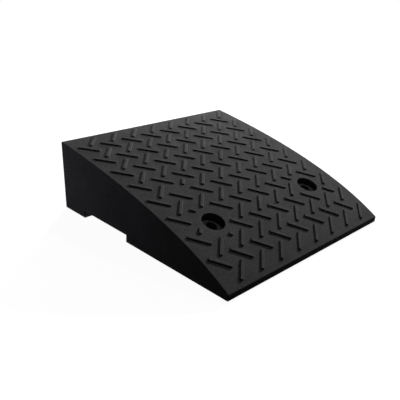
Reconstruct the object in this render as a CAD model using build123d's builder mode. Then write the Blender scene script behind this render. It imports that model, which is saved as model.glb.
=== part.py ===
from build123d import *
import os
from math import cos, radians, sin, sqrt, tan

# Kerb ramp: one hollow plastic moulding with a raised tread, ribs underneath and rubber pads.
# Millimetres. X runs across the ramp, +Y points at the kerb, +Z is up and the ground is Z = 0.
# The origin is the middle of the ground face.

# Overall size
base_width = 500.0  # across the foot of the side walls
base_length = 500.0  # from the front lip to the kerb face
kerb_height = 150.0  # top edge at the kerb, above the ground
lip_height = 13.5  # front edge, above the ground
ground_gap = 1.5  # the pads hold the moulding this far off the ground
side_draft = 0.5  # degrees that the side walls lean in
kerb_batter = 12.0  # the kerb wall's foot stands this far ahead of its top edge
front_slope = 31.2  # degrees of the deck at the front lip
rear_slope = 7.3  # degrees of the deck at the kerb
edge_chamfer = 1.5  # outer edges of the moulding

# Moulded walls and ribs
deck_thickness = 4.5
wall_thickness = 4.5
rib_thickness = 3.0  # full-depth ribs
column_pitch = 61.0  # full-depth ribs side by side, from the middle one outwards
bay_pitch = 48.0  # full-depth ribs along the ramp
stiffener_thickness = 2.5  # low ribs half-way between the full-depth ones
stiffener_depth = 14.0  # below the underside of the deck

# Drain channel that crosses under the ramp, between two ribs
channel_setback = 84.0  # kerb face to the rib behind the channel
channel_bays = 3
channel_height = 17.0  # above the ground

# Fixing holes, stepped for a bolt head and its washer
bolt_spacing = 308.0
bolt_run = 144.5  # along the deck from the front lip
bolt_hole = 22.0
head_recess = 48.0
head_recess_depth = 12.0  # square to the deck
boss_wall = 5.0

# Tread bars, two crossing sets laid in a basket pattern
bar_length = 48.0
bar_width = 8.0
bar_height = 2.5
bar_end_sides = 6  # each end is half of this many-sided figure, with a corner at its tip
bar_root = 1.0  # how far a bar runs into the deck
bar_angle = 45.0  # degrees from the ramp's width
tread_pitch = 57.7
tread_side_margin = 10.0
tread_front_margin = 12.0
tread_rear_margin = 7.0
least_run = 1.0  # a bar cut shorter than this, between its ends, is left out
hole_clearance = 38.0  # radius round each fixing hole that stays free of bars
graze_share = 0.8  # a bar that passes the hole further out than this share of the radius only grazes it
short_bar = (8, 3)  # row from the front and column from the left of the one bar that is half as long

# Rubber pads, each pressed into a tube under the deck
pad_diameter = 28.0
pad_seat = 8.0  # lower rim of the tubes, above the ground
stem_bore = 22.0  # across the corners of a tube's bore
stem_sides = 6  # of the bore and the stem, so that a pad can't turn
stem_length = 12.0
stem_clearance = 0.2
tube_wall = 3.5

half_width = base_width / 2
front = -base_length / 2
rear = base_length / 2

# The deck's curve in side view, from the lip to the kerb edge, bent towards the point where the slopes meet
lip_slope = tan(radians(front_slope))
kerb_slope = tan(radians(rear_slope))
corner_run = (kerb_height - lip_height - base_length * kerb_slope) / (lip_slope - kerb_slope)
deck_corner = (front + corner_run, lip_height + corner_run * lip_slope)
deck_poles = [(front, lip_height), deck_corner, (rear, kerb_height)]


def deck_height(y):
    """Height of the deck's curve at y, from the share t of the curve that lies ahead of y."""
    (y0, z0), (y1, z1), (y2, z2) = deck_poles
    bend = y0 - 2 * y1 + y2
    t = (sqrt((y1 - y0) ** 2 + bend * (y - y0)) - (y1 - y0)) / bend
    return (1 - t) ** 2 * z0 + 2 * t * (1 - t) * z1 + t**2 * z2


def wall_face(z, inset):
    """Distance of a leaning side wall from the middle at height z, inset from its outer face."""
    return half_width - inset - (z - ground_gap) * tan(radians(side_draft))


def kerb_face(z, inset):
    """How far back the leaning kerb wall stands at height z, inset from its outer face."""
    return rear - inset - kerb_batter * (kerb_height - z) / (kerb_height - ground_gap)


# Outer form of the moulding: the side view carried across, cut to the leaning side walls
with BuildPart() as body:
    with BuildSketch(Plane.YZ.offset(-half_width)):
        with BuildLine():
            deck_line = Bezier(*deck_poles)
            kerb_foot = (kerb_face(ground_gap, 0), ground_gap)
            Polyline(deck_line @ 1, kerb_foot, (front, ground_gap), deck_line @ 0)
        make_face()
    extrude(amount=base_width)
    with BuildSketch(Plane.XZ):
        with BuildLine():
            top = wall_face(kerb_height, 0)
            Polyline(
                (-half_width, ground_gap),
                (half_width, ground_gap),
                (top, kerb_height),
                (-top, kerb_height),
                close=True,
            )
        make_face()
    extrude(amount=rear, both=True, mode=Mode.INTERSECT)
    foot_edges = body.edges().group_by(Axis.Z)[0]
    chamfer(body.edges() - foot_edges, edge_chamfer)


def deck_plane(x, s, angle=0):
    """Plane on the deck at x across and s along it, turned by angle from the ramp's width."""
    point = deck_line.position_at(s, PositionMode.LENGTH)
    slope = deck_line.tangent_at(s, PositionMode.LENGTH)
    turned = (cos(angle), sin(angle) * slope.X, sin(angle) * slope.Y)
    return Plane(origin=(x, point.X, point.Y), x_dir=turned, z_dir=(0, -slope.Y, slope.X))


# Places of the ribs, counted from the drain channel and from the middle of the ramp
channel_rear_rib = rear - channel_setback
channel_front_rib = channel_rear_rib - channel_bays * bay_pitch
bays_ahead = int((channel_rear_rib - front - wall_thickness - bay_pitch / 2) / bay_pitch)
bays_behind = int((channel_setback - wall_thickness - bay_pitch / 2) / bay_pitch)
rib_rows = [channel_rear_rib + k * bay_pitch for k in range(-bays_ahead, bays_behind + 1)]
columns_aside = int((half_width - wall_thickness - column_pitch / 2) / column_pitch)
rib_columns = [k * column_pitch for k in range(-columns_aside, columns_aside + 1)]

# Stiffeners run half-way between the full-depth ribs
outer_column = (columns_aside * column_pitch + half_width - wall_thickness) / 2
stiffener_columns = [x + column_pitch / 2 for x in rib_columns[:-1]] + [-outer_column, outer_column]

# Fixing holes: the seat of a bolt head lies parallel to the deck, and the bore runs straight down from it
bolt_columns = (-bolt_spacing / 2, bolt_spacing / 2)
bolt_seats = [deck_plane(x, bolt_run).offset(-head_recess_depth) for x in bolt_columns]
bolt_places = [(seat.origin.X, seat.origin.Y) for seat in bolt_seats]

# Pads stand in the middle of a rib cell, in pairs: two behind the channel, one ahead of it, one at the front
inner_column = 1.5 * column_pitch  # second cell from the middle
rear_row = channel_rear_rib + bay_pitch / 2
pad_pairs = {
    "rear_outer": (outer_column, rear_row),
    "rear_inner": (inner_column, rear_row),
    "middle": (inner_column, channel_front_rib - bay_pitch / 2),
    "front": (outer_column, rib_rows[0] + bay_pitch / 2),
}
pad_places = {}
for pair, (x, y) in pad_pairs.items():
    pad_places[f"rubber_pad_{pair}_left"] = (-x, y)
    pad_places[f"rubber_pad_{pair}_right"] = (x, y)


def under_deck(depth, inset):
    """The space depth below the deck and inset from the four walls, flat-topped from rib to rib."""
    floor = -depth
    stations = [front + inset, *rib_rows, kerb_face(kerb_height - depth, inset)]
    top_line = [(y, deck_height(y) - depth) for y in stations]
    with BuildPart() as space:
        with BuildSketch(Plane.YZ):
            with BuildLine():
                Polyline(*top_line, (kerb_face(floor, inset), floor), (front + inset, floor), close=True)
            make_face()
        extrude(amount=base_width, both=True)
        with BuildSketch(Plane.XZ):
            with BuildLine():
                low = wall_face(floor, inset)
                high = wall_face(kerb_height, inset)
                Polyline((-low, floor), (low, floor), (high, kerb_height), (-high, kerb_height), close=True)
            make_face()
        extrude(amount=base_length, both=True, mode=Mode.INTERSECT)
    return space.part


# Low stiffeners that hang from the deck
below_stiffeners = under_deck(deck_thickness + stiffener_depth, 0)
with BuildPart() as stiffeners:
    with BuildSketch(Plane.XY):
        with Locations(*[(x, 0) for x in stiffener_columns]):
            Rectangle(stiffener_thickness, base_length)
        with Locations(*pad_places.values()):
            RegularPolygon(stem_bore / 2, stem_sides, mode=Mode.SUBTRACT)
    extrude(amount=kerb_height)
    add(below_stiffeners, mode=Mode.SUBTRACT)

# Hollow underside: the space under the deck, less the ribs, bolt columns, pad tubes and stiffeners
hollow = under_deck(deck_thickness, wall_thickness)
with BuildPart() as pockets:
    add(hollow)
    with BuildSketch(Plane.XY):
        with Locations(*[(x, 0) for x in rib_columns]):
            Rectangle(rib_thickness, base_length)
        with Locations(*[(0, y) for y in rib_rows]):
            Rectangle(base_width, rib_thickness)
        with Locations(*bolt_places):
            Circle(bolt_hole / 2 + boss_wall)
    extrude(amount=kerb_height, mode=Mode.SUBTRACT)
    with BuildSketch(*[seat.offset(-boss_wall) for seat in bolt_seats]):
        Circle(head_recess / 2 + boss_wall)
    extrude(amount=boss_wall + head_recess_depth, mode=Mode.SUBTRACT)
    with BuildSketch(Plane.XY.offset(pad_seat)):
        with Locations(*pad_places.values()):
            Circle(stem_bore / 2 + tube_wall)
            RegularPolygon(stem_bore / 2, stem_sides, mode=Mode.SUBTRACT)
    extrude(amount=kerb_height, mode=Mode.SUBTRACT)
    add(stiffeners.part, mode=Mode.SUBTRACT)

# Tread grid: places half a pitch apart, taken in turn by the two crossing sets of bars
bar_tip = bar_width / 2 / cos(radians(180 / bar_end_sides))  # from the middle of an end to its corner
bar_run = bar_length - 2 * bar_tip  # between the middles of the two ends
bar_across = bar_run * cos(radians(bar_angle)) + bar_width
bar_along = bar_run * sin(radians(bar_angle)) + bar_width
grid_step = tread_pitch / 2
grid_columns = 1 + int((2 * (top - tread_side_margin) - bar_across) / grid_step)
tread_length = deck_line.length - tread_front_margin - tread_rear_margin
grid_rows = 1 + int((tread_length - bar_along) / grid_step)


def clear_of_holes(x, s, angle):
    """Middle and run of a bar after the circles round the fixing holes have been kept free.

    A bar that only grazes a circle moves aside and stays whole. Any other is cut back to its
    longer piece outside the circle, which has no length if the circle takes it all.
    """
    ux, us = cos(angle), sin(angle)
    ends = [-bar_run / 2, bar_run / 2]
    reach = hole_clearance + bar_width / 2
    for hole_x in bolt_columns:
        along = (hole_x - x) * ux + (bolt_run - s) * us
        aside = (bolt_run - s) * ux - (hole_x - x) * us
        chord = sqrt(max(reach**2 - aside**2, 0))
        if along + chord <= ends[0] or along - chord >= ends[1] or chord == 0:
            continue
        if abs(aside) > graze_share * reach:
            step = (reach - abs(aside)) * (-1 if aside > 0 else 1)
            x, s = x - step * us, s + step * ux
        elif along - chord - ends[0] > ends[1] - along - chord:
            ends[1] = along - chord
        else:
            ends[0] = along + chord
    middle = sum(ends) / 2
    return x + middle * ux, s + middle * us, ends[1] - ends[0]


bars_by_run = {}
for row in range(grid_rows):
    for column in range(grid_columns):
        if (row + column) % 2 == 0:
            continue
        angle = radians(bar_angle if row % 2 == 0 else 180 - bar_angle)
        x = (column - (grid_columns - 1) / 2) * grid_step
        s = tread_front_margin + bar_along / 2 + row * grid_step
        x, s, run = clear_of_holes(x, s, angle)
        if (row, column) == short_bar:
            run -= bar_length / 2
            x, s = x + bar_length / 4 * cos(angle), s + bar_length / 4 * sin(angle)
        if run > least_run:
            bars_by_run.setdefault(round(run, 3), []).append(deck_plane(x, s, angle).offset(-bar_root))

# The moulding
with BuildPart() as ramp_shell:
    add(body.part)
    for run, planes in bars_by_run.items():
        with BuildSketch(*planes):
            with Locations((-run / 2, 0), (run / 2, 0)):
                RegularPolygon(bar_width / 2, bar_end_sides, major_radius=False)
            make_hull()
    extrude(amount=bar_root + bar_height)
    with BuildSketch(*bolt_seats):
        Circle(head_recess / 2)
    extrude(amount=head_recess_depth + bar_height, mode=Mode.SUBTRACT)
    with Locations(*bolt_places):
        Hole(bolt_hole / 2)
    with BuildSketch(Plane.YZ):
        with Locations(((channel_front_rib + channel_rear_rib) / 2, channel_height / 2)):
            Rectangle(channel_bays * bay_pitch - rib_thickness, channel_height)
    extrude(amount=base_width, both=True, mode=Mode.SUBTRACT)
    add(pockets.part, mode=Mode.SUBTRACT)
ramp_shell.part.label = "ramp_shell"

os.makedirs("parts", exist_ok=True)
export_step(ramp_shell.part, "parts/ramp_shell.step")

# Rubber pads: a disc that stands on the ground, with a stem up in its tube
for name, (x, y) in pad_places.items():
    with BuildPart() as pad:
        with BuildSketch(Plane.XY):
            with Locations((x, y)):
                Circle(pad_diameter / 2)
        extrude(amount=pad_seat)
        with BuildSketch(Plane.XY.offset(pad_seat)):
            with Locations((x, y)):
                RegularPolygon(stem_bore / 2 - stem_clearance, stem_sides)
        extrude(amount=stem_length)
    pad.part.label = name
    export_step(pad.part, f"parts/{name}.step")
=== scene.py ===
# %% [markdown]
# # A kerb ramp, dressed in Blender
# A kerb ramp lets a wheel climb from the road to the pavement. The real one is a single black plastic
# moulding, hollow and ribbed underneath, that stands on rubber pads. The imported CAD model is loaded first
# as a fixed frame, in metres, and every surface made below is laid where the CAD says.

import bmesh
import bpy
import numpy as np
from mathutils import Matrix


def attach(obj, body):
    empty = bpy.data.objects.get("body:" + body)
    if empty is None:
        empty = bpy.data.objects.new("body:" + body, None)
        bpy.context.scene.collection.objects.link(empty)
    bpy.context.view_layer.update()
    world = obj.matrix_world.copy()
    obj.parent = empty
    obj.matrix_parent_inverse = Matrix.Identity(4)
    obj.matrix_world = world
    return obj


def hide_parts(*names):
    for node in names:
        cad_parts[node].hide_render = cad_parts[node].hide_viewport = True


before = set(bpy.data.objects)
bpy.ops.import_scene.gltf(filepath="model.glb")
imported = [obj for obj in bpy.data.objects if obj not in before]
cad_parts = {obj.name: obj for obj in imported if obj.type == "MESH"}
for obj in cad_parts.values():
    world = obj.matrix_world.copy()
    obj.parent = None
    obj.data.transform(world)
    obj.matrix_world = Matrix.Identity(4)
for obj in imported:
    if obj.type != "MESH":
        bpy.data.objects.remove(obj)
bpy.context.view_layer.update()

# %% [markdown]
# ## The deck's curve
# In side view the deck is one smooth bend: steep at the lip, nearly level at the kerb. It could be drawn as
# an arc, but an arc can't hold both slopes. Here one bend point, where the two end slopes meet, pulls the
# line, which is a quadratic Bezier curve. It is sampled closely once, and everything on the deck reads it.

# %% Deck line in side view, millimetres
half_width = 250.0
front, rear = -250.0, 250.0
lip_height, kerb_height = 13.5, 150.0
lip_point, kerb_point = np.array([front, lip_height]), np.array([rear, kerb_height])
lip_slope, kerb_slope = np.tan(np.radians([31.2, 7.3]))
bend_run = (kerb_height - lip_height - (rear - front) * kerb_slope) / (lip_slope - kerb_slope)
bend_point = lip_point + bend_run * np.array([1.0, lip_slope])

deck_samples = 4001
share = np.linspace(0, 1, deck_samples)[:, None]
deck_line = (1 - share) ** 2 * lip_point + 2 * share * (1 - share) * bend_point + share**2 * kerb_point
deck_run = (1 - share) * (bend_point - lip_point) + share * (kerb_point - bend_point)
deck_run /= np.linalg.norm(deck_run, axis=1, keepdims=True)
deck_out = np.stack([-deck_run[:, 1], deck_run[:, 0]], axis=1)
deck_length = np.append(0, np.cumsum(np.linalg.norm(np.diff(deck_line, axis=0), axis=1)))
print("deck length along the curve:", round(deck_length[-1], 1), "mm")


# %% Reading the deck line
def deck_at(length):
    """Point (y, z) and outward direction of the deck at a length along its curve, read from the samples."""
    point = np.stack([np.interp(length, deck_length, deck_line[:, k]) for k in (0, 1)], axis=-1)
    out = np.stack([np.interp(length, deck_length, deck_out[:, k]) for k in (0, 1)], axis=-1)
    return point, out


def deck_height(y, depth):
    """Height at y of the curve that lies depth below the deck: each sample steps back along its normal."""
    sunk = deck_line - depth * deck_out
    return np.interp(y, sunk[:, 0], sunk[:, 1])


# %% [markdown]
# ## Sheets into solids
# A moulding is a skin with an outside and an inside. Each side is worked out as grids of points, whole
# arrays at a time, and the grids are sewn where their borders meet. Modelling a block and hollowing it with
# Booleans would also work, but it leaves long thin faces that shade badly on a curved deck.


# %% Grids into objects
def spread(marks, steps):
    """Stations that pass through all marks, with a given number of even steps between each two of them."""
    marks = np.broadcast_arrays(*marks)
    parts = [np.linspace(a, b, n, endpoint=False, axis=-1) for a, b, n in zip(marks, marks[1:], steps)]
    return np.concatenate([*parts, marks[-1][..., None]], axis=-1)


def grid_cells(rows, columns, start=0):
    """Corner numbers of each cell of a grid: a point, its neighbour across, the diagonal one, the one along."""
    number = start + np.arange(rows * columns).reshape(rows, columns)
    return np.stack([number[:-1, :-1], number[:-1, 1:], number[1:, 1:], number[1:, :-1]], axis=-1)


def make_object(name, points, faces):
    """A mesh object at the origin from points in millimetres, which are written in metres."""
    mesh = bpy.data.meshes.new(name)
    mesh.from_pydata(np.asarray(points).reshape(-1, 3) * 0.001, [], faces)
    made = bpy.data.objects.new(name, mesh)
    bpy.context.scene.collection.objects.link(made)
    return made


# %% Wear and painted edge highlight, and seams
wear_and_highlight_angle = 6.0
weld_distance = 2e-6


def mark_edges(mesh):
    """Stores how far each point stands out: the mean angle at which its edges fall below its level plane.

    A flat spot gets 0, and an edge that falls away by the wear and highlight angle or more on average gets 1.
    The value makes convex edges paler: partly rubbed wear, partly a painted highlight.
    """
    count = len(mesh.vertices)
    point, normal = np.empty(3 * count, np.float32), np.empty(3 * count, np.float32)
    mesh.vertices.foreach_get("co", point)
    mesh.vertex_normals.foreach_get("vector", normal)
    ends = np.empty(2 * len(mesh.edges), np.int32)
    mesh.edges.foreach_get("vertices", ends)
    start, end = np.concatenate([ends.reshape(-1, 2), ends.reshape(-1, 2)[:, ::-1]]).T
    point, normal = point.reshape(-1, 3), normal.reshape(-1, 3)
    run = point[end] - point[start]
    fall = -(run * normal[start]).sum(axis=1) / np.linalg.norm(run, axis=1)
    mean_fall = np.bincount(start, fall, count) / np.bincount(start, minlength=count)
    wear_and_highlight = np.clip(mean_fall / np.sin(np.radians(wear_and_highlight_angle)), 0, 1)
    # Stored per point, this value paints convex edges paler: partly rubbed wear, partly a painted highlight.
    mesh.attributes.new("wear_and_highlight", "FLOAT", "POINT").data.foreach_set("value", wear_and_highlight.astype(np.float32))


def close_seams(made, weld=True):
    """Sews equal points together, turns all faces outwards, shades them smooth and says what is still open."""
    mesh = made.data
    work = bmesh.new()
    work.from_mesh(mesh)
    if weld:
        bmesh.ops.remove_doubles(work, verts=work.verts, dist=weld_distance)
    bmesh.ops.recalc_face_normals(work, faces=work.faces)
    loose = sum(not edge.is_manifold for edge in work.edges)
    volume = work.calc_volume(signed=True) * 1e6
    print(f"{made.name}: {len(work.faces)} faces, {loose} open edges, {volume:.0f} cm3")
    work.to_mesh(mesh)
    work.free()
    mesh.shade_smooth()
    mark_edges(mesh)
    even = made.modifiers.new("even_shading", "WEIGHTED_NORMAL")
    even.keep_sharp = True
    return made


def sew(name, sheets):
    """One object from several grids. Each sheet is (points, kept cells), and None keeps all its cells.

    Points that no kept cell uses are left out, and the corner numbers are counted again without them.
    """
    points, faces, start = [], [], 0
    for sheet, kept in sheets:
        rows, columns = sheet.shape[:2]
        cells = grid_cells(rows, columns, start)
        faces.append(cells.reshape(-1, 4) if kept is None else cells[kept])
        points.append(sheet.reshape(-1, 3))
        start += rows * columns
    used, corners = np.unique(np.concatenate(faces), return_inverse=True)
    return close_seams(make_object(name, np.concatenate(points)[used], corners.reshape(-1, 4).tolist()))


# %% [markdown]
# ## The skin
# The skin is the deck, the lip, the kerb wall and the two leaning side walls, with softly rounded edges as a
# steel mould gives them. A Bevel modifier could round a sharp box. Here a ball of the edge's radius rolls
# inside the walls instead: the surface is the ball's middle plus its radius in the direction that looks out.
# That rounds the edges and the corners in one formula, and the same formula, set in by the wall's
# thickness, gives the hollow inside.

# %% Walls of the skin
ground_gap = 1.5
wall = 4.5
side_lean = np.tan(np.radians(0.5))
foot_ahead = 12.0
kerb_batter = foot_ahead / (kerb_height - ground_gap)
channel_y = (23.5, 164.5)
channel_height = 17.0
low_rows, high_rows = 3, 6


def wall_rows(top):
    """Heights of a wall's rows: even steps to the channel's roof, or to half the top, and on to the top."""
    knee = np.minimum(channel_height, top / 2)
    return spread([ground_gap, knee, top], (low_rows, high_rows))


def kerb_face(z):
    """How far back the kerb wall stands at height z: its foot stays ahead of its top edge by an even lean."""
    return rear - (kerb_height - z) * kerb_batter


# %% Path of the rolling ball
edge_radius = 2.0
arc_steps = 4
bolt_x, bolt_s = 154.0, 144.5
rim_point, seat_out = deck_at(bolt_s)
window_half = 34.0
window_y = (rim_point[0] - window_half, rim_point[0] + window_half)
along_steps = (16, 16, 18, 24, 14)


def rolling_ball(inset):
    """Middle of the ball (y, z) and the angle at which it looks out, from the front foot to the rear foot.

    It climbs the front wall straight up, and comes down the kerb wall on a leaning line. On the deck the
    middle lies inset plus radius below the curve. At the lip and the kerb edge it rests while the angle turns.
    """
    reach = inset + edge_radius
    middle = deck_line - reach * deck_out
    short_of_kerb = middle[:, 0] + reach - kerb_face(middle[:, 1])
    kerb_end = np.interp(0, short_of_kerb, middle[:, 0])
    y = spread([front + reach, *window_y, *channel_y, kerb_end], along_steps)
    z = np.interp(y, middle[:, 0], middle[:, 1])
    look = np.arctan2(*(np.interp(y, middle[:, 0], deck_out[:, k]) for k in (0, 1)))
    climb, fall = wall_rows(z[0]), wall_rows(z[-1])[::-1]
    quarter = np.pi / 2
    lip_turn = np.linspace(-quarter, look[0], arc_steps + 1)[1:-1]
    kerb_turn = np.linspace(look[-1], quarter, arc_steps + 1)[1:-1]
    at_lip, at_kerb = np.zeros_like(lip_turn), np.zeros_like(kerb_turn)
    path_y = np.concatenate([0 * climb + y[0], at_lip + y[0], y, at_kerb + y[-1], kerb_face(fall) - reach])
    path_z = np.concatenate([climb, at_lip + z[0], z, at_kerb + z[-1], fall])
    path_look = np.concatenate([0 * climb - quarter, lip_turn, look, kerb_turn, 0 * fall + quarter])
    return path_y, path_z, path_look, y, z


# %% Deck band and side walls
window_x = (bolt_x - window_half, bolt_x + window_half)
across_steps = (10, 16, 40, 16, 10)


def deck_band(inset):
    """Grid over front wall, deck and kerb wall: ball's middle plus radius times the direction that looks out.

    Across the ramp the direction leans from one side wall, over the deck, to the other side wall.
    """
    y, z, look, _, _ = rolling_ball(inset)
    edge = half_width - inset - edge_radius - (z - ground_gap) * side_lean
    marks = [-edge, -window_x[1], -window_x[0], window_x[0], window_x[1], edge]
    middle = spread(marks, across_steps)
    turn = np.linspace(0, np.pi / 2, arc_steps + 1)[1:]
    lean = np.concatenate([-turn[::-1], np.zeros(middle.shape[1]), turn])
    side = np.ones(arc_steps)
    x = np.concatenate([-edge[:, None] * side, middle, edge[:, None] * side], axis=1)
    lift = edge_radius * np.cos(lean)
    across = x + edge_radius * np.sin(lean)
    along = y[:, None] + lift * np.sin(look)[:, None]
    up = z[:, None] + lift * np.cos(look)[:, None]
    return np.stack([across, along, up], axis=-1)


def side_wall(inset, side):
    """Grid of a leaning wall: at each station along the ramp its rows climb from the foot to the deck's edge.

    Behind the channel the stations lean more and more, until the last one lies along the kerb wall.
    """
    _, _, _, y, z = rolling_ball(inset)
    rows = wall_rows(z)
    x = side * (half_width - inset - (rows - ground_gap) * side_lean)
    behind = np.clip((y - channel_y[1]) / (y[-1] - channel_y[1]), 0, 1)
    along = y[:, None] - behind[:, None] * kerb_batter * (z[:, None] - rows)
    return np.stack([x, along, rows], axis=-1)


outer_band, inner_band = deck_band(0), deck_band(wall)
print("deck band:", outer_band.shape[0], "by", outer_band.shape[1], "points, twice")

# %% [markdown]
# ## The bolt wells
# Each fixing hole is a wide recess for a bolt head, with its floor parallel to the deck, a narrow bore
# straight down for the shank, and a column round the bore that stands on the road. A square window is left
# out of the deck's grid, and a fan of rings leads from the window's border to a circle, over a rounded rim,
# down the recess, over its floor and down the bore. The same rings with wider radii make the outside of the
# cup and the column, so the wall is closed by itself.

# %% Seat of a bolt head
head_radius, head_depth, bore_radius = 24.0, 12.0, 11.0
boss = 5.0
seat_run = np.array([seat_out[1], -seat_out[0]])
bore_y = rim_point[0] - head_depth * seat_out[0]


def seat_height(y, depth):
    """Height at y of the plane that lies depth below the deck at a bolt, parallel to the deck there."""
    y0, z0 = rim_point - depth * seat_out
    return z0 + (y - y0) * seat_run[1] / seat_run[0]


# %% Rings of one well
rim_radius = 1.0
rim_steps, fan_rings = 3, 3
first_corner = -135.0


def quarter_turn(steps):
    """Sine and cosine of a quarter turn in even steps, without its start."""
    angle = np.linspace(0, np.pi / 2, steps + 1)[1:]
    return np.sin(angle), np.cos(angle)


def well_rings(border, x, inset, bowl, depth, shank):
    """Rings from a window's border to a circle on the deck, over its rim, down the bowl and down the shank.

    On the deck a ring is a mix of border and circle, across and along the curve. In the bowl, a ring has one
    radius and one depth square to the deck. In the shank it has one radius round an upright axis. Each of the
    three bends is a quarter turn of the rim's radius.
    """
    sine, cosine = quarter_turn(rim_steps)
    turn = np.radians(np.linspace(first_corner, first_corner + 360, border.shape[0]))
    circle = np.stack([np.cos(turn), np.sin(turn)], axis=-1)
    middle = np.array([x, bolt_s])
    lengths = np.interp(border[:, 1], (deck_line - inset * deck_out)[:, 0], deck_length)
    edge = np.stack([border[:, 0], lengths], axis=-1)
    mix = np.arange(1, fan_rings + 1)[:, None, None] / fan_rings
    fan = (1 - mix) * edge + mix * (middle + (bowl + rim_radius) * circle)
    rim = middle + (bowl + rim_radius * (1 - sine))[:, None, None] * circle
    draped = np.concatenate([fan, rim])
    sunk = inset + np.concatenate([np.zeros(fan_rings), rim_radius * (1 - cosine)])
    point, out = deck_at(draped[..., 1])
    top = np.dstack([draped[..., 0], point - sunk[:, None, None] * out])

    radius = np.concatenate([[bowl], bowl - rim_radius * (1 - cosine)])[:, None, None]
    below = np.concatenate([[depth - rim_radius], depth - rim_radius * (1 - sine)])[:, None, None]
    slanted = rim_point + radius * circle[:, 1:] * seat_run - below * seat_out
    bowl_rings = np.dstack([x + radius[..., 0] * circle[:, 0], slanted])

    radius = np.concatenate([[shank + rim_radius], shank + rim_radius * (1 - sine)])[:, None, None]
    plan = np.array([x, bore_y]) + radius * circle
    level = seat_height(plan[..., 1], depth)
    level[1:] -= rim_radius * (1 - cosine)[:, None]
    shank_rings = np.dstack([plan, level])
    foot = shank_rings[-1:] * [1, 1, 0] + [0, 0, ground_gap]
    return np.concatenate([border[None], top, bowl_rings, shank_rings, foot])


# %% Windows and notches
first_deck_row = low_rows + high_rows + arc_steps
band_rows = (first_deck_row + along_steps[0], first_deck_row + sum(along_steps[:2]))
left_window = (arc_steps + across_steps[0], arc_steps + sum(across_steps[:2]))
right_window = (arc_steps + sum(across_steps[:3]), arc_steps + sum(across_steps[:4]))
notch = (sum(along_steps[:3]), sum(along_steps[:4]))

band_kept = np.ones(np.array(outer_band.shape[:2]) - 1, bool)
for window in (left_window, right_window):
    band_kept[slice(*band_rows), slice(*window)] = False
wall_kept = np.ones((sum(along_steps), low_rows + high_rows), bool)
wall_kept[slice(*notch), :low_rows] = False
print("cells left out: deck", (~band_kept).sum(), "and each side wall", (~wall_kept).sum())


def window_border(band, across):
    """Points of the band once round a window, from its front left corner."""
    i, k = band_rows
    a, b = across
    loop = [band[i, a:b], band[i:k, b], band[k, b:a:-1], band[k:i:-1, a], band[i, a : a + 1]]
    return np.concatenate(loop)


# %% Sewing the skin
sheets = [(outer_band, band_kept), (inner_band, band_kept)]
rims = [(outer_band[0], inner_band[0]), (outer_band[-1], inner_band[-1])]
foot_cuts = [
    (slice(0, notch[0] + 1), 0),
    (notch[0], slice(0, low_rows + 1)),
    (slice(notch[0], notch[1] + 1), low_rows),
    (notch[1], slice(0, low_rows + 1)),
    (slice(notch[1], None), 0),
]
for side in (-1, 1):
    outside, inside = side_wall(0, side), side_wall(wall, side)
    sheets += [(outside, wall_kept), (inside, wall_kept)]
    rims += [(outside[cut], inside[cut]) for cut in foot_cuts]
for window, x in ((left_window, -bolt_x), (right_window, bolt_x)):
    inner_sizes = head_radius, head_depth, bore_radius
    outer_sizes = (size + boss for size in inner_sizes)
    recess = well_rings(window_border(outer_band, window), x, 0, *inner_sizes)
    pillar = well_rings(window_border(inner_band, window), x, wall, *outer_sizes)
    sheets += [(recess, None), (pillar, None)]
    rims.append((recess[-1], pillar[-1]))
sheets += [(np.stack(pair), None) for pair in rims]

skin = sew("shell_skin", sheets)

# %% [markdown]
# ## Ribs under the deck
# Under the deck there are full-depth ribs both ways, with low stiffeners half-way between them. Each is a
# plain plate, so a cross-section with rounded lower corners is carried along straight stations, and only its
# upper edge follows the deck. Extruded boxes cut by the deck would do too, but this needs no cut. The plates
# run a little into the skin and into one another, as ribs of one moulding do, which hides their ends.

# %% Carrying a plate along its stations
corner_soft = 0.6
sink = 1.0
plate_points, plate_faces = [], []


def add_plate(start, end, fixed, along, thickness, low, high, steps=24, lean=0.0):
    """Carries a plate's section from start to end along x or y, beside a fixed coordinate.

    The section is six points: two on top, two where the rounded lower corners start, two where they end.
    Low and high are heights, or functions of y that give them. With a lean, the sections tilt little by
    little, until the last one lies along the kerb wall.
    """
    run = np.linspace(start, end, steps + 1)
    y = run if along == "y" else np.full_like(run, fixed)
    bottom = low(y) if callable(low) else np.full_like(y, low)
    top = high(y) if callable(high) else np.full_like(y, high)
    flank = thickness / 2
    sole = flank - corner_soft
    aside = np.array([-flank, -flank, -sole, sole, flank, flank])
    height = bottom[:, None] + np.array([0, corner_soft, 0, 0, corner_soft, 0])
    height[:, [0, -1]] = top[:, None]
    beside = np.broadcast_to(fixed + aside, height.shape)
    tilt = np.linspace(0, lean, steps + 1)[:, None] * (kerb_height - height)
    run = run[:, None] - tilt
    section = [beside, run, height] if along == "y" else [run, beside, height]
    first = sum(len(p) for p in plate_points)
    number = first + np.arange(height.size).reshape(height.shape)
    around = np.roll(number, -1, axis=1)
    sides = np.stack([number[:-1], around[:-1], around[1:], number[1:]], axis=-1).reshape(-1, 4)
    plate_points.append(np.stack(section, axis=-1).reshape(-1, 3))
    plate_faces.extend([*sides.tolist(), number[0].tolist(), number[-1, ::-1].tolist()])


def into_deck(y):
    """Upper edge of a rib: the deck's underside plus the depth that the plate runs into it."""
    return deck_height(y, wall) + sink


# %% Full-depth ribs along the ramp
rib_thickness = 3.0
column_pitch = 61.0
rib_x = np.arange(-3, 4) * column_pitch
wall_y = rear - wall + sink
stretches = [
    (-wall_y, channel_y[0] - sink, ground_gap, 0.0),
    (channel_y[0] - 2 * sink, channel_y[1] + 2 * sink, channel_height, 0.0),
    (channel_y[1] + sink, wall_y, ground_gap, kerb_batter),
]

for x in rib_x:
    for start, end, foot, lean in stretches:
        add_plate(start, end, x, "y", rib_thickness, foot, into_deck, lean=lean)
print("full-depth ribs along the ramp:", len(rib_x), "in", len(stretches), "stretches each")

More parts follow.
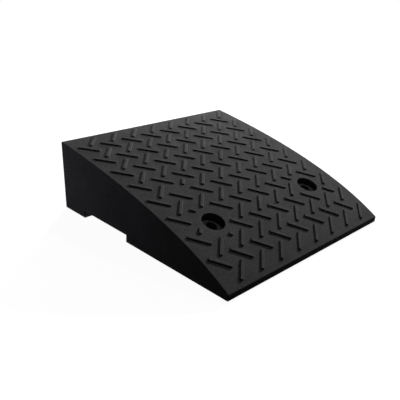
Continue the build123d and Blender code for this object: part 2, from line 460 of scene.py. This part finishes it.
# %% Full-depth ribs across the ramp
bay_pitch = 48.0
rib_y = channel_y[1] + rib_thickness / 2 + np.arange(-8, 2) * bay_pitch
inside_channel = (rib_y > channel_y[0]) & (rib_y < channel_y[1])
side_sink, well_sink = 0.5, 3.0
wall_x = half_width - wall + side_sink
cup_reach, pillar_reach = (radius + boss - well_sink for radius in (head_radius, bore_radius))

for y, raised in zip(rib_y, inside_channel):
    foot = channel_height if raised else ground_gap
    if abs(y - rim_point[0]) > head_radius + boss:
        add_plate(-wall_x, wall_x, y, "x", rib_thickness, foot, into_deck, 1)
        continue
    add_plate(-wall_x, -bolt_x - cup_reach, y, "x", rib_thickness, foot, into_deck, 1)
    add_plate(cup_reach - bolt_x, bolt_x - cup_reach, y, "x", rib_thickness, foot, into_deck, 1)
    add_plate(bolt_x + cup_reach, wall_x, y, "x", rib_thickness, foot, into_deck, 1)
    under_cup = seat_height(y, head_depth + boss / 2)
    for middle in (-bolt_x, bolt_x):
        for inner, outer in ((-cup_reach, -pillar_reach), (pillar_reach, cup_reach)):
            add_plate(middle + inner, middle + outer, y, "x", rib_thickness, foot, under_cup, 1)
print("full-depth ribs across the ramp:", len(rib_y))

# %% Low stiffeners along the ramp
stiffener_thickness, stiffener_depth = 2.5, 14.0
lip_clear = 14.0
outer_cell = (3 * column_pitch + half_width - wall) / 2
pad_row_y = {"rear": 190.0, "middle": -2.0, "front": -194.0}
tube_gap, cup_gap = 12.5, head_radius + 1.0
cup_middle = 0.75 * head_depth
cup_y = rim_point[0] - cup_middle * seat_out[0]
breaks = {
    0.5 * column_pitch: [],
    1.5 * column_pitch: [(pad_row_y["middle"], tube_gap), (pad_row_y["rear"], tube_gap)],
    2.5 * column_pitch: [(cup_y, cup_gap)],
    outer_cell: [(pad_row_y["front"], tube_gap), (pad_row_y["rear"], tube_gap)],
}


def under_stiffener(y):
    """Lower edge of a low stiffener: a fixed depth below the deck's underside."""
    return deck_height(y, wall) - stiffener_depth


for x, gaps in breaks.items():
    ends = [-wall_y + lip_clear, *(y + side * gap for y, gap in gaps for side in (-1, 1)), wall_y]
    for start, end in zip(ends[::2], ends[1::2]):
        for side in (-1, 1):
            add_plate(start, end, side * x, "y", stiffener_thickness, under_stiffener, into_deck)
print("low stiffeners along the ramp:", 2 * len(breaks))

# %% Low stiffeners across the ramp
halfway_y = rib_y[:0:-1] - bay_pitch / 2
taken_y = np.array([*pad_row_y.values(), cup_y])
taken_clear = 40.0
free_y = halfway_y[np.abs(halfway_y[:, None] - taken_y).min(axis=1) > taken_clear]

for y in free_y:
    foot = deck_height(y, wall) - stiffener_depth / 2
    add_plate(-wall_x, wall_x, y, "x", stiffener_thickness, foot, into_deck, 1)
print("low stiffeners across the ramp, at y:", free_y)

ribs = close_seams(make_object("rib_lattice", np.concatenate(plate_points), plate_faces), weld=False)

# %% [markdown]
# ## Tread bars
# Raised bars in two crossing sets give grip, laid in a basket pattern that keeps clear of the bolt wells. A
# bar is an outline with two blunt ends, repeated at four heights and drawn in as it rises: a foot in the
# deck, steep sides that lean so that the mould comes off, a softened edge and the top. Boxes with a Bevel
# would do too, but here all bars are one array, and each point is mapped from across, along and above the
# deck onto the curve, so every bar sits square on the slope under it.

# %% Places of the bars
bar_width, bar_height, bar_length = 8.0, 2.67, 48.0
bar_slants = (45.0, 135.0)
weave_pitch = 57.7
grid_step = weave_pitch / 2
grid_rows, grid_columns = 17, 16
lip_margin = 12.0
tip_angle = 30.0
bar_tip = bar_width / 2 / np.cos(np.radians(tip_angle))
bar_run = bar_length - 2 * bar_tip
bar_row, bar_column = np.nonzero((np.arange(grid_rows)[:, None] + np.arange(grid_columns)) % 2)
slant = np.radians(np.where(bar_row % 2 == 0, *bar_slants))
unit_x, unit_s = np.cos(slant), np.sin(slant)
bar_x = (bar_column - (grid_columns - 1) / 2) * grid_step
first_row = lip_margin + (bar_run * np.sin(np.radians(bar_slants[0])) + bar_width) / 2
bar_s = first_row + bar_row * grid_step
bar_ends = np.stack([np.full(bar_row.size, -bar_run / 2), np.full(bar_row.size, bar_run / 2)])

# %% Keeping the bolt wells clear
well_clear = 38.0
graze_share = 0.8
clear_radius = well_clear + bar_width / 2
for hole_x in (-bolt_x, bolt_x):
    along = (hole_x - bar_x) * unit_x + (bolt_s - bar_s) * unit_s
    aside = (bolt_s - bar_s) * unit_x - (hole_x - bar_x) * unit_s
    chord = np.sqrt(np.maximum(clear_radius**2 - aside**2, 0))
    reached = (along + chord > bar_ends[0]) & (along - chord < bar_ends[1]) & (chord > 0)
    grazed = reached & (np.abs(aside) > graze_share * clear_radius)
    step = np.where(grazed, (np.abs(aside) - clear_radius) * np.sign(aside), 0)
    bar_x, bar_s = bar_x - step * unit_s, bar_s + step * unit_x
    cut = reached & ~grazed
    lower_part = along - chord - bar_ends[0] > bar_ends[1] - along - chord
    bar_ends[1] = np.where(cut & lower_part, along - chord, bar_ends[1])
    bar_ends[0] = np.where(cut & ~lower_part, along + chord, bar_ends[0])

# %% The half bar, and bars too short to keep
half_row, half_column = 8, 3
shortest_run = 1.0
half_bar = (bar_row == half_row) & (bar_column == half_column)
bar_ends[0] += half_bar * bar_length / 2
kept = bar_ends[1] - bar_ends[0] > shortest_run
print("tread bars:", kept.sum(), "of", bar_row.size, "places")

# %% Outline and section of a bar
bluntness = 0.45
end_angles = np.radians(np.arange(-90, 91, 30))
outline_turn = np.concatenate([end_angles, end_angles + np.pi])
outline_end = np.repeat([1, 0], end_angles.size)
round_end = np.stack([np.cos(outline_turn), np.sin(outline_turn)])
blunt_run, blunt_aside = np.sign(round_end) * np.abs(round_end) ** bluntness
ring_radius = bar_width / 2 - np.array([0.0, 0.05, 1.1, 1.6])
ring_height = np.array([-0.4, 0.1, 2.4, bar_height])
print("section of a bar: half widths", ring_radius, "at heights", ring_height)

# %% The bars as one array
stretch = bar_tip - bar_width / 2
end_middle = bar_ends[:, kept] + np.array([[-stretch], [stretch]])
run = end_middle[outline_end].T[:, None, :] + ring_radius[:, None] * blunt_run
aside = np.broadcast_to(ring_radius[:, None] * blunt_aside, run.shape)
ux, us = unit_x[kept, None, None], unit_s[kept, None, None]
x = bar_x[kept, None, None] + run * ux - aside * us
point, out = deck_at(bar_s[kept, None, None] + run * us + aside * ux)
on_deck = point + ring_height[:, None, None] * out
bars = np.concatenate([x[..., None], on_deck], axis=-1)

# %% Faces of the bars
count, rings, corners = bars.shape[:3]
number = np.arange(count * rings * corners).reshape(count, rings, corners)
around = np.roll(number, -1, axis=2)
sides = np.stack([number[:, :-1], around[:, :-1], around[:, 1:], number[:, 1:]], axis=-1).reshape(-1, 4)
left, right = np.arange(corners // 2 - 1), corners - 1 - np.arange(corners // 2 - 1)
caps = [number[:, ring][:, np.stack([left, left + 1, right - 1, right])] for ring in (0, -1)]
caps = np.concatenate(caps).transpose(0, 2, 1).reshape(-1, 4)
treads = close_seams(make_object("tread_bars", bars, np.concatenate([sides, caps]).tolist()), weld=False)

# %% [markdown]
# ## Pad tubes and rubber pads
# A pad is a rubber disc with a six-sided stem that is pressed into a tube under the deck, so it can't turn.
# Both are turned shapes: a profile of radius and height is carried round an axis, as the Screw modifier
# could do for a round one. Where the profile meets the stem, its radius follows a hexagon instead of a circle.

# %% Turning a profile round an axis
turn = np.radians(np.arange(0, 361, 7.5))
sector = np.pi / 3
hexagon = np.cos(sector / 2) / np.cos((turn + sector / 2) % sector - sector / 2)


def turned(x, y, profile, six_sided):
    """Grid of a turned shape at (x, y): each profile point becomes a ring, round or with six sides."""
    radius, height = profile[:, :1], profile[:, 1:]
    ring = np.where(np.array(six_sided)[:, None], hexagon, 1.0) * radius
    level = np.broadcast_to(height, ring.shape)
    return np.stack([x + ring * np.cos(turn), y + ring * np.sin(turn), level], axis=-1)


# %% Profiles of tube and pad
pad_seat = 8.0
stem_radius, tube_wall = 11.0, 3.5
tube_out = stem_radius + tube_wall
tube_radius = tube_out - np.array([0, 0, 0.2, 0.7, tube_wall - 0.4, tube_wall, tube_wall])
tube_height = pad_seat + np.array([0, 0.7, 0.2, 0, 0, 0.4, 0])
tube_profile = np.stack([tube_radius, tube_height], axis=1)
tube_six_sided = [False] * 4 + [True] * 3
stem_profile = [(0, 20.0), (10.0, 20.0), (10.8, 19.2), (10.8, pad_seat)]
disc_profile = [(13.4, pad_seat), (13.85, 7.8), (14.0, 7.3), (14.0, 1.2), (13.6, 0.35), (12.8, 0), (0, 0)]
pad_profile = np.array(stem_profile + disc_profile)
pad_six_sided = [True] * len(stem_profile) + [False] * len(disc_profile)

# %% Tubes and pads in place
pad_places = {
    "rear_outer": (outer_cell, pad_row_y["rear"]),
    "rear_inner": (1.5 * column_pitch, pad_row_y["rear"]),
    "middle": (1.5 * column_pitch, pad_row_y["middle"]),
    "front": (outer_cell, pad_row_y["front"]),
}
tube_sheets, pads = [], {}
for place, (x, y) in pad_places.items():
    for side, name in ((-1, "left"), (1, "right")):
        tube = turned(side * x, y, tube_profile, tube_six_sided)
        tube[[0, -1], :, 2] = into_deck(tube[[0, -1], :, 1])
        tube_sheets.append((np.concatenate([tube, tube[:1]]), None))
        pad = turned(side * x, y, pad_profile, pad_six_sided)
        pads[f"rubber_pad_{place}_{name}"] = sew(f"pad_{place}_{name}", [(pad, None)])
tubes = sew("pad_tubes", tube_sheets)

# %% [markdown]
# ## Black moulded plastic
# The real plastic is black all through, with a fine grain from the mould that scatters light, and its edges
# are painted a little paler: partly rubbed wear, partly a painted highlight. The pads are rubber, matte too,
# with a finer grain. One shared node group makes grain, tone, scuffs and the paler edges from noises on Object
# coordinates and from the edge value that every mesh stores.
# Painted images would do too, but they blur when the view comes close.

# %% Shared surface group
pattern_details = {"Grain": 1.0, "Speckle": 2.0, "Mottle": 4.0, "Scuff": 6.0}
noise_low, noise_high = 0.3, 0.7
mottle_share = 0.35


def moulded_surface_group():
    """Grain, tone, scuffs and the paler edge, each from 0 to 1.

    Grain and scuffs are plain noises. The tone is a fine speckle, weakened by a broad mottle. The paler edge is
    the mesh's own edge value times the scuffs, so that it comes and goes along an edge: partly rubbed wear,
    partly a painted highlight.
    """
    group = bpy.data.node_groups.new("moulded_surface", "ShaderNodeTree")
    for name in pattern_details:
        group.interface.new_socket(name + " Scale", in_out="INPUT", socket_type="NodeSocketFloat")
    for name in ("Grain", "Tone", "Scuff", "Wear And Highlight"):
        group.interface.new_socket(name, in_out="OUTPUT", socket_type="NodeSocketFloat")
    nodes, links = group.nodes, group.links
    given, result = nodes.new("NodeGroupInput"), nodes.new("NodeGroupOutput")
    place = nodes.new("ShaderNodeTexCoord")
    pattern = {}
    for name, detail in pattern_details.items():
        noise, stretch = nodes.new("ShaderNodeTexNoise"), nodes.new("ShaderNodeMapRange")
        noise.inputs["Detail"].default_value = detail
        links.new(place.outputs["Object"], noise.inputs["Vector"])
        links.new(given.outputs[name + " Scale"], noise.inputs["Scale"])
        stretch.inputs["From Min"].default_value = noise_low
        stretch.inputs["From Max"].default_value = noise_high
        links.new(noise.outputs["Fac"], stretch.inputs["Value"])
        pattern[name] = stretch.outputs["Result"]
    tone, wear_and_highlight, edge = (nodes.new("ShaderNode" + kind) for kind in ("Mix", "Math", "Attribute"))
    tone.inputs["Factor"].default_value = mottle_share
    links.new(pattern["Speckle"], tone.inputs["A"])
    links.new(pattern["Mottle"], tone.inputs["B"])
    # Paler edges from the stored edge value: partly rubbed wear, partly a painted highlight.
    edge.attribute_name = "wear_and_highlight"
    wear_and_highlight.operation = "MULTIPLY"
    links.new(edge.outputs["Fac"], wear_and_highlight.inputs[0])
    links.new(pattern["Scuff"], wear_and_highlight.inputs[1])
    links.new(pattern["Grain"], result.inputs["Grain"])
    links.new(tone.outputs["Result"], result.inputs["Tone"])
    links.new(pattern["Scuff"], result.inputs["Scuff"])
    links.new(wear_and_highlight.outputs["Value"], result.inputs["Wear And Highlight"])
    return group


surface_group = moulded_surface_group()
print("shared group:", surface_group.name)


# %% A matte finish
def finish(name, greys, rough, grain_height, specular, scales):
    """A matte finish from three greys: the tone leads from dark to pale, and the edge value on to a paler edge
    grey that is partly rubbed wear, partly a painted highlight.

    The scuffs set the roughness between two values, and the grain is a bump of a given height in metres.
    The scales say how fine each pattern of the shared group is.
    """
    material = bpy.data.materials.new(name)
    material.use_nodes = True
    nodes, links = material.node_tree.nodes, material.node_tree.links
    shader = nodes["Principled BSDF"]
    shader.inputs["Specular IOR Level"].default_value = specular
    surface = nodes.new("ShaderNodeGroup")
    surface.node_tree = surface_group
    for pattern, scale in scales.items():
        surface.inputs[pattern + " Scale"].default_value = scale
    dark, pale, rubbed_and_highlit = ((grey, grey, grey, 1) for grey in greys)
    plain, colour = nodes.new("ShaderNodeMix"), nodes.new("ShaderNodeMix")
    plain.data_type = colour.data_type = "RGBA"
    plain.inputs["A"].default_value, plain.inputs["B"].default_value = dark, pale
    # The paler edge grey: partly rubbed wear, partly a painted highlight.
    colour.inputs["B"].default_value = rubbed_and_highlit
    links.new(surface.outputs["Tone"], plain.inputs["Factor"])
    links.new(plain.outputs["Result"], colour.inputs["A"])
    links.new(surface.outputs["Wear And Highlight"], colour.inputs["Factor"])
    links.new(colour.outputs["Result"], shader.inputs["Base Color"])
    roughness = nodes.new("ShaderNodeMapRange")
    roughness.inputs["To Min"].default_value, roughness.inputs["To Max"].default_value = rough
    links.new(surface.outputs["Scuff"], roughness.inputs["Value"])
    links.new(roughness.outputs["Result"], shader.inputs["Roughness"])
    bump = nodes.new("ShaderNodeBump")
    bump.inputs["Distance"].default_value = grain_height
    links.new(surface.outputs["Grain"], bump.inputs["Height"])
    links.new(bump.outputs["Normal"], shader.inputs["Normal"])
    return material


# %% Plastic and rubber
moulded_black = finish(
    "moulded_black",
    # The third grey paints convex edges paler: partly rubbed wear, partly a painted highlight.
    greys=(0.040, 0.070, 0.074),
    rough=(0.5, 0.65),
    grain_height=0.0001,
    specular=0.003,
    scales={"Grain": 900.0, "Speckle": 260.0, "Mottle": 22.0, "Scuff": 60.0},
)
pad_rubber = finish(
    "pad_rubber_matte",
    # The third grey paints convex edges paler: partly rubbed wear, partly a painted highlight.
    greys=(0.04, 0.06, 0.08),
    rough=(0.75, 0.9),
    grain_height=0.0001,
    specular=0.15,
    scales={"Grain": 1300.0, "Speckle": 420.0, "Mottle": 60.0, "Scuff": 110.0},
)
print("finishes:", moulded_black.name, "and", pad_rubber.name)

# %% [markdown]
# ## What rides where
# The ramp has no moving parts, so all pieces ride on one body. The skin stands for the CAD moulding, and each
# pad stands for its own CAD node.

# %% Riding and replacing
moulded_pieces = (skin, ribs, treads, tubes)
for piece in moulded_pieces:
    piece.data.materials.append(moulded_black)
    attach(piece, "root")
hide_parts("ramp_shell")
for node, piece in pads.items():
    piece.data.materials.append(pad_rubber)
    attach(piece, "root")
    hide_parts(node)
print("pieces:", len(moulded_pieces) + len(pads))

# %% [markdown]
# ## Floor and world
# The ramp stands on a plain white floor. The floor and the world are white to the camera and to reflections,
# while they send little light back, as in a studio with dark sides that keeps black plastic black. A floor
# that is bright to all light would be simpler, but it would fill the dark sides of the bars with grey. From
# below the floor is clear, so that the ribs can be seen and lit.


# %% White to the eye only
def largest(nodes, links, *sockets):
    """A socket with the largest of several values, found two by two."""
    last = sockets[0]
    for socket in sockets[1:]:
        larger = nodes.new("ShaderNodeMath")
        larger.operation = "MAXIMUM"
        links.new(last, larger.inputs[0])
        links.new(socket, larger.inputs[1])
        last = larger.outputs["Value"]
    return last


def seen_directly(nodes, links):
    """1 for rays from the camera, a mirror or glass, 0 for soft bounced light: the largest of three flags."""
    path = nodes.new("ShaderNodeLightPath")
    flags = ("Is Camera Ray", "Is Glossy Ray", "Is Transmission Ray")
    return largest(nodes, links, *(path.outputs[flag] for flag in flags))


# %% Floor finish
floor_grey = 0.10
near_reach, far_reach = 0.35, 0.9
near_glow, far_glow = 0.96, 1.0


def floor_material():
    """White to the eye: a diffuse part that takes the shadow, and a glow that grows to full white further out.

    Bounced light sees only the diffuse part. From below the floor is clear, to the eye and to the lamp there.
    """
    material = bpy.data.materials.new("studio_floor")
    material.use_nodes = True
    nodes, links = material.node_tree.nodes, material.node_tree.links
    nodes.remove(nodes["Principled BSDF"])
    matte, glow, both = (nodes.new("ShaderNode" + kind) for kind in ("BsdfDiffuse", "Emission", "AddShader"))
    matte.inputs["Color"].default_value = (floor_grey, floor_grey, floor_grey, 1)
    place, reach, paler = (nodes.new("ShaderNode" + kind) for kind in ("TexCoord", "VectorMath", "MapRange"))
    reach.operation = "LENGTH"
    links.new(place.outputs["Object"], reach.inputs[0])
    links.new(reach.outputs["Value"], paler.inputs["Value"])
    paler.inputs["From Min"].default_value, paler.inputs["From Max"].default_value = near_reach, far_reach
    paler.inputs["To Min"].default_value, paler.inputs["To Max"].default_value = near_glow, far_glow
    level = nodes.new("ShaderNodeMath")
    level.operation = "MULTIPLY"
    links.new(seen_directly(nodes, links), level.inputs[0])
    links.new(paler.outputs["Result"], level.inputs[1])
    links.new(level.outputs["Value"], glow.inputs["Strength"])
    links.new(matte.outputs["BSDF"], both.inputs[0])
    links.new(glow.outputs["Emission"], both.inputs[1])
    clear, choice = nodes.new("ShaderNodeBsdfTransparent"), nodes.new("ShaderNodeMixShader")
    side, path = nodes.new("ShaderNodeNewGeometry"), nodes.new("ShaderNodeLightPath")
    lets_through = largest(nodes, links, side.outputs["Backfacing"], path.outputs["Is Shadow Ray"])
    links.new(lets_through, choice.inputs["Fac"])
    links.new(both.outputs["Shader"], choice.inputs[1])
    links.new(clear.outputs["BSDF"], choice.inputs[2])
    links.new(choice.outputs["Shader"], nodes["Material Output"].inputs["Surface"])
    return material


# %% Floor
floor_reach = 6000.0
corner = np.linspace(-floor_reach, floor_reach, 2)
floor_x, floor_y = np.meshgrid(corner, corner)
floor_points = np.stack([floor_x, floor_y, 0 * floor_x], axis=-1)
floor = make_object("floor", floor_points, grid_cells(2, 2).reshape(-1, 4).tolist())
floor.data.materials.append(floor_material())
print("floor:", 0.002 * floor_reach, "m wide")

# %% World
bounce_level, seen_level = 0.012, 1.0
world = bpy.data.worlds.new("studio")
bpy.context.scene.world = world
world.use_nodes = True
nodes, links = world.node_tree.nodes, world.node_tree.links
sky, dim = nodes["Background"], nodes.new("ShaderNodeMapRange")
sky.inputs["Color"].default_value = (1, 1, 1, 1)
dim.inputs["To Min"].default_value, dim.inputs["To Max"].default_value = bounce_level, seen_level
links.new(seen_directly(nodes, links), dim.inputs["Value"])
links.new(dim.outputs["Result"], sky.inputs["Strength"])
print("world:", seen_level, "to the eye,", bounce_level, "as light")

# %% [markdown]
# ## Lamps
# Four lamps light the ramp from above: a low key from the right, which draws a dark side on every bar, a
# weaker one at the rear right, a higher one that reaches the floors of the bolt wells, and a small bluish
# fill near the left wall. A fifth one shines up through the floor, as on a light table. One large lamp would
# be simpler, but its soft light would leave the bars without their dark sides. Reflections don't show the
# lamps, so the plastic stays matte.


# %% Aiming and soft boxes
def aim(position, target, roll=0.0):
    """Matrix of a lamp or camera at position that looks at target, turned by roll about its line of sight."""
    back = np.subtract(position, target)
    back = back / np.linalg.norm(back)
    right = np.cross((0, 0, 1), back)
    right /= np.linalg.norm(right)
    up = np.cross(back, right)
    matrix = np.eye(4)
    matrix[:3, :3] = np.stack([right, up, back], axis=1)
    matrix[:3, 3] = position
    return Matrix(matrix.tolist()) @ Matrix.Rotation(roll, 4, "Z")


def soft_box(name, turn, elevation, distance, target, size, watts, colour=(1, 1, 1)):
    """A round soft lamp at a distance from its target, turn degrees from the right towards the kerb."""
    a, e = np.radians([turn, elevation])
    light = bpy.data.lights.new(name, "AREA")
    light.shape = "DISK"
    light.size = size
    light.energy = watts
    light.color = colour
    lamp = bpy.data.objects.new(name, light)
    bpy.context.scene.collection.objects.link(lamp)
    away = np.array([np.cos(a) * np.cos(e), np.sin(a) * np.cos(e), np.sin(e)])
    lamp.matrix_world = aim(target + distance * away, target)
    lamp.visible_camera = lamp.visible_glossy = False
    print(f"lamp {name}: {watts} W from {distance} m")


# %% The five lamps
deck_middle, left_wall = np.array([0, 0, 0.09]), np.array([-0.25, 0.1, 0.06])
bluish = (0.87, 0.84, 1.0)
soft_box("key", turn=2, elevation=21, distance=1.8, target=deck_middle, size=0.15, watts=61.0)
soft_box("rear", turn=62, elevation=16, distance=0.9, target=deck_middle, size=0.10, watts=10.5)
soft_box("top", turn=5, elevation=62, distance=1.8, target=deck_middle, size=0.20, watts=8.0)
soft_box("under", turn=0, elevation=-80, distance=1.2, target=deck_middle, size=0.30, watts=11.0)
soft_box("fill", turn=140, elevation=8, distance=0.45, target=left_wall, size=0.16, watts=0.37, colour=bluish)

# %% [markdown]
# ## Camera
# The camera stands where the picture of the real ramp was taken from: its place, its focal length in pixels
# and its small roll come from a fit to the ramp's edges and holes. A Track To constraint could aim it, but it
# can't hold the roll, so its matrix is worked out from place, line of sight and roll.

# %% Camera of the picture
focal_pixels, picture_pixels = 558.2, 400
camera = bpy.data.cameras.new("photo_view")
camera.sensor_width = 36.0
camera.lens = focal_pixels / picture_pixels * camera.sensor_width
camera_object = bpy.data.objects.new("photo_view", camera)
bpy.context.scene.collection.objects.link(camera_object)
bpy.context.scene.camera = camera_object
bpy.context.scene.view_settings.view_transform = "Standard"


def direction(azimuth, elevation):
    """Unit vector from the ramp to a viewer: azimuth turns from the front to the right, elevation lifts it."""
    a, e = np.radians([azimuth, elevation])
    return np.array([np.sin(a) * np.cos(e), -np.cos(a) * np.cos(e), np.sin(e)])


# %% Place and line of sight
orbit_middle, orbit_distance = np.array([0, 0, 0.060]), 1.24012
azimuth, elevation = -48.97, 22.30
pan, tilt, roll = 2.37, 1.27, 3.65
stand = orbit_middle + orbit_distance * direction(azimuth, elevation)
sight = direction(azimuth + pan, elevation + tilt)
camera_object.matrix_world = aim(stand, stand - sight, np.radians(roll))
print("camera at", stand.round(3))
